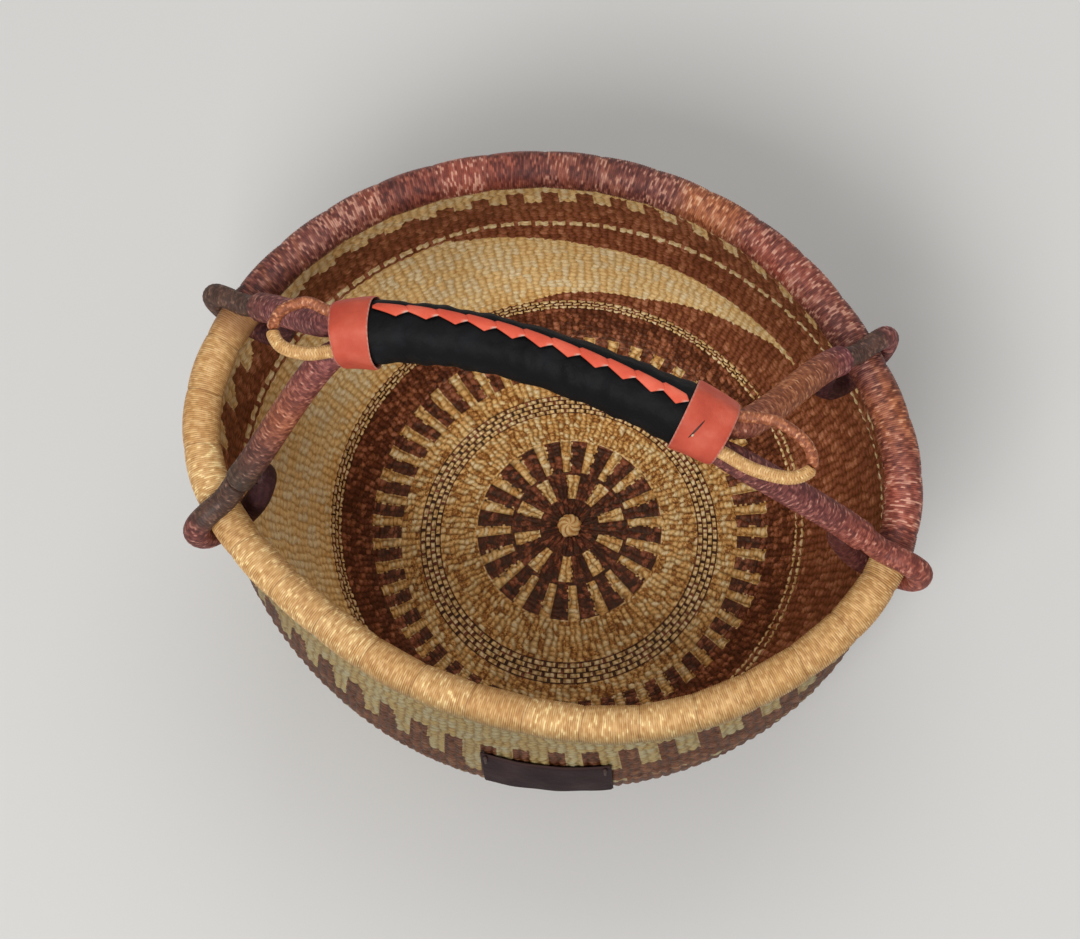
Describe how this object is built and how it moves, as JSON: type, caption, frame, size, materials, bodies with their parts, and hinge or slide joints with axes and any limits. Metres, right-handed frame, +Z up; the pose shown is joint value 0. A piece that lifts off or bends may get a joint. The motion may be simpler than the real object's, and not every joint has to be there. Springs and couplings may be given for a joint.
{
  "type": "round woven grass basket with leather grip handle",
  "caption": "Round twined grass basket with a bound rim, its arched handle forking into bound legs looped over the rim and gripped in laced leather.",
  "frame": {"origin": "middle of the flat underside of the woven base", "axes": "+Z up through the mouth, +X along the handle's span to the right as seen from the label, -Y out of the side that carries the label patch"},
  "size_m": [0.4183, 0.3493, 0.3637],
  "materials": {
    "woven_grass": "twined split grass, natural with dark brown dyed pattern, satin",
    "natural_grass": "bound twisted grass, undyed straw, satin",
    "dyed_grass": "bound twisted grass, mottled purple brown dye, satin",
    "orange_grass": "bound twisted grass, orange brown dye, satin",
    "black_leather": "soft black leather, slight sheen",
    "coral_leather": "coral dyed leather, matte with light creases",
    "brown_leather": "dark brown leather, matte",
    "stitch_thread": "dark waxed thread"
  },
  "bodies": {
    "root": {"woven_bowl": "woven_grass", "start_knot": "natural_grass", "rim_core": "natural_grass", "rim_wrap_back": "dyed_grass", "rim_wrap_left": "natural_grass", "rim_wrap_front": "natural_grass", "rim_wrap_right": "dyed_grass", "leather_sleeve": "black_leather", "grip_core": "natural_grass", "cuff_left": "coral_leather", "cuff_right": "coral_leather", "leather_lacing": "coral_leather", "handle_leg_left_back": "dyed_grass", "handle_leg_left_front": "dyed_grass", "handle_leg_right_back": "orange_grass", "handle_leg_right_front": "dyed_grass", "rim_loop_left_back": "dyed_grass", "rim_loop_left_front": "dyed_grass", "rim_loop_right_back": "dyed_grass", "rim_loop_right_front": "dyed_grass", "eye_loop_left_dyed": "orange_grass", "eye_loop_left_natural": "natural_grass", "eye_loop_right_dyed": "orange_grass", "eye_loop_right_natural": "natural_grass", "label_patch": "brown_leather", "label_stitch_left": "stitch_thread", "label_stitch_right": "stitch_thread"}
  },
  "joints": []
}
